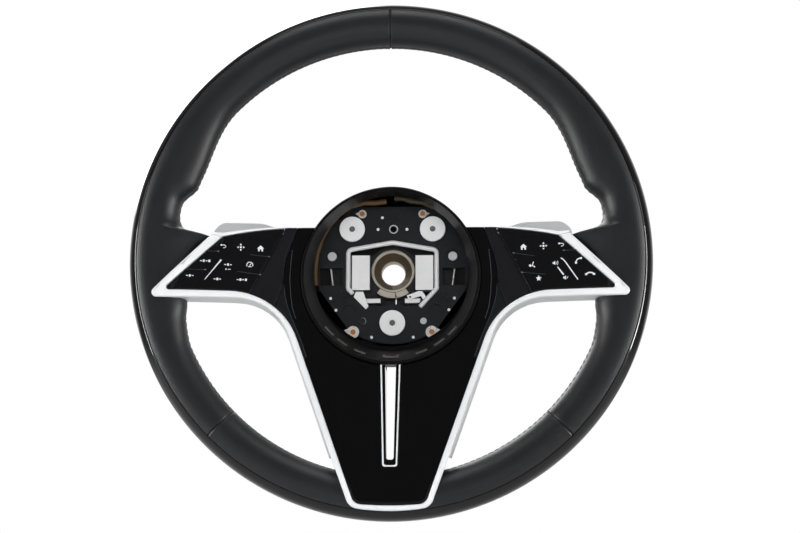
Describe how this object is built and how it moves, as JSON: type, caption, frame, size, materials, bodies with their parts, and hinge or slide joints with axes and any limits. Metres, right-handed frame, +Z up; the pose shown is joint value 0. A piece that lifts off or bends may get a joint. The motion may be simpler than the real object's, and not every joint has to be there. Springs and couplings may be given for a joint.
{
  "type": "car steering wheel",
  "caption": "Leather-wrapped steering wheel with touch pads on the side spokes, a slotted lower spoke, shift paddles, and an open hub where the airbag clips in.",
  "frame": {"origin": "on the steering axis, at the hub's rear face", "axes": "-Y towards the driver along the steering axis, +Y towards the column, +X to the driver's right, +Z up the wheel"},
  "size_m": [0.37, 0.098, 0.37],
  "materials": {
    "cast_frame": "as-cast, satin",
    "bush_steel": "machined",
    "foam": "moulded foam",
    "leather": "satin, fine grain",
    "gloss_black": "high gloss",
    "satin_silver": "satin silver plating",
    "charcoal": "smooth satin",
    "circuit_board": "varnished board",
    "grained_black": "fine grain",
    "dark_steel": "blackened",
    "bright_steel": "bright wire",
    "plate_black": "fine grain",
    "white_plastic": "satin",
    "contact_brass": "bare",
    "grey_plastic": "satin",
    "wire_sleeve": "soft sleeve",
    "paddle_silver": "satin silver paint"
  },
  "bodies": {
    "wheel": {"armature": "cast_frame", "rim_core": "dark_steel", "spline_bush": "bush_steel", "rim_foam": "foam", "rim_leather": "leather", "rim_band": "gloss_black", "trim_bezel": "satin_silver", "trim_skirt_left": "satin_silver", "trim_skirt_right": "satin_silver", "front_fascia": "gloss_black", "slot_frame": "satin_silver", "slot_liner": "gloss_black", "pad_frame_left": "charcoal", "pad_frame_right": "charcoal", "switch_board_left": "circuit_board", "switch_board_right": "circuit_board", "rear_bowl": "grained_black", "rear_cover": "grained_black", "cover_screws": "dark_steel", "well_ring": "grained_black", "well_springs": "bright_steel", "well_staple": "bright_steel", "carrier_plate": "plate_black", "plate_screws": "dark_steel", "latch_spring": "bright_steel", "latch_tab": "bright_steel", "latch_lever": "bright_steel", "contact_collars": "bright_steel", "contact_pins": "contact_brass", "guide_plugs": "grey_plastic", "plate_studs": "white_plastic", "window_springs": "bright_steel", "wiring_left": "wire_sleeve", "wiring_right": "wire_sleeve", "paddle_bracket_left": "grained_black", "paddle_bracket_right": "grained_black", "paddle_pin_left": "bright_steel", "paddle_pin_right": "bright_steel"},
    "left_panel": {"touch_panel_left": "charcoal"},
    "right_panel": {"touch_panel_right": "charcoal"},
    "left_horn_cap": {"horn_cap_left": "white_plastic"},
    "right_horn_cap": {"horn_cap_right": "white_plastic"},
    "lower_horn_cap": {"horn_cap_lower": "white_plastic"},
    "left_paddle": {"paddle_left": "paddle_silver"},
    "right_paddle": {"paddle_right": "paddle_silver"}
  },
  "joints": [
    {"name": "touch_press_left", "type": "slide", "parent": "wheel", "child": "left_panel", "axis": [0, 1, 0], "range_m": [0, 0.0005], "stiffness_N_per_m": 6000, "springref_m": -0.0003},
    {"name": "touch_press_right", "type": "slide", "parent": "wheel", "child": "right_panel", "axis": [0, 1, 0], "range_m": [0, 0.0005], "stiffness_N_per_m": 6000, "springref_m": -0.0003},
    {"name": "horn_press_left", "type": "slide", "parent": "wheel", "child": "left_horn_cap", "axis": [0, 1, 0], "range_m": [0, 0.0016], "stiffness_N_per_m": 3000, "springref_m": -0.001},
    {"name": "horn_press_right", "type": "slide", "parent": "wheel", "child": "right_horn_cap", "axis": [0, 1, 0], "range_m": [0, 0.0016], "stiffness_N_per_m": 3000, "springref_m": -0.001},
    {"name": "horn_press_lower", "type": "slide", "parent": "wheel", "child": "lower_horn_cap", "axis": [0, 1, 0], "range_m": [0, 0.0016], "stiffness_N_per_m": 3000, "springref_m": -0.001},
    {"name": "paddle_pull_left", "type": "hinge", "parent": "wheel", "child": "left_paddle", "pos_m": [-0.078, -0.03, 0], "axis": [0, 0, 1], "range_deg": [0, 5], "stiffness_Nm_per_rad": 1.2, "springref_deg": -2.86},
    {"name": "paddle_pull_right", "type": "hinge", "parent": "wheel", "child": "right_paddle", "pos_m": [0.078, -0.03, 0], "axis": [0, 0, -1], "range_deg": [0, 5], "stiffness_Nm_per_rad": 1.2, "springref_deg": -2.86}
  ]
}
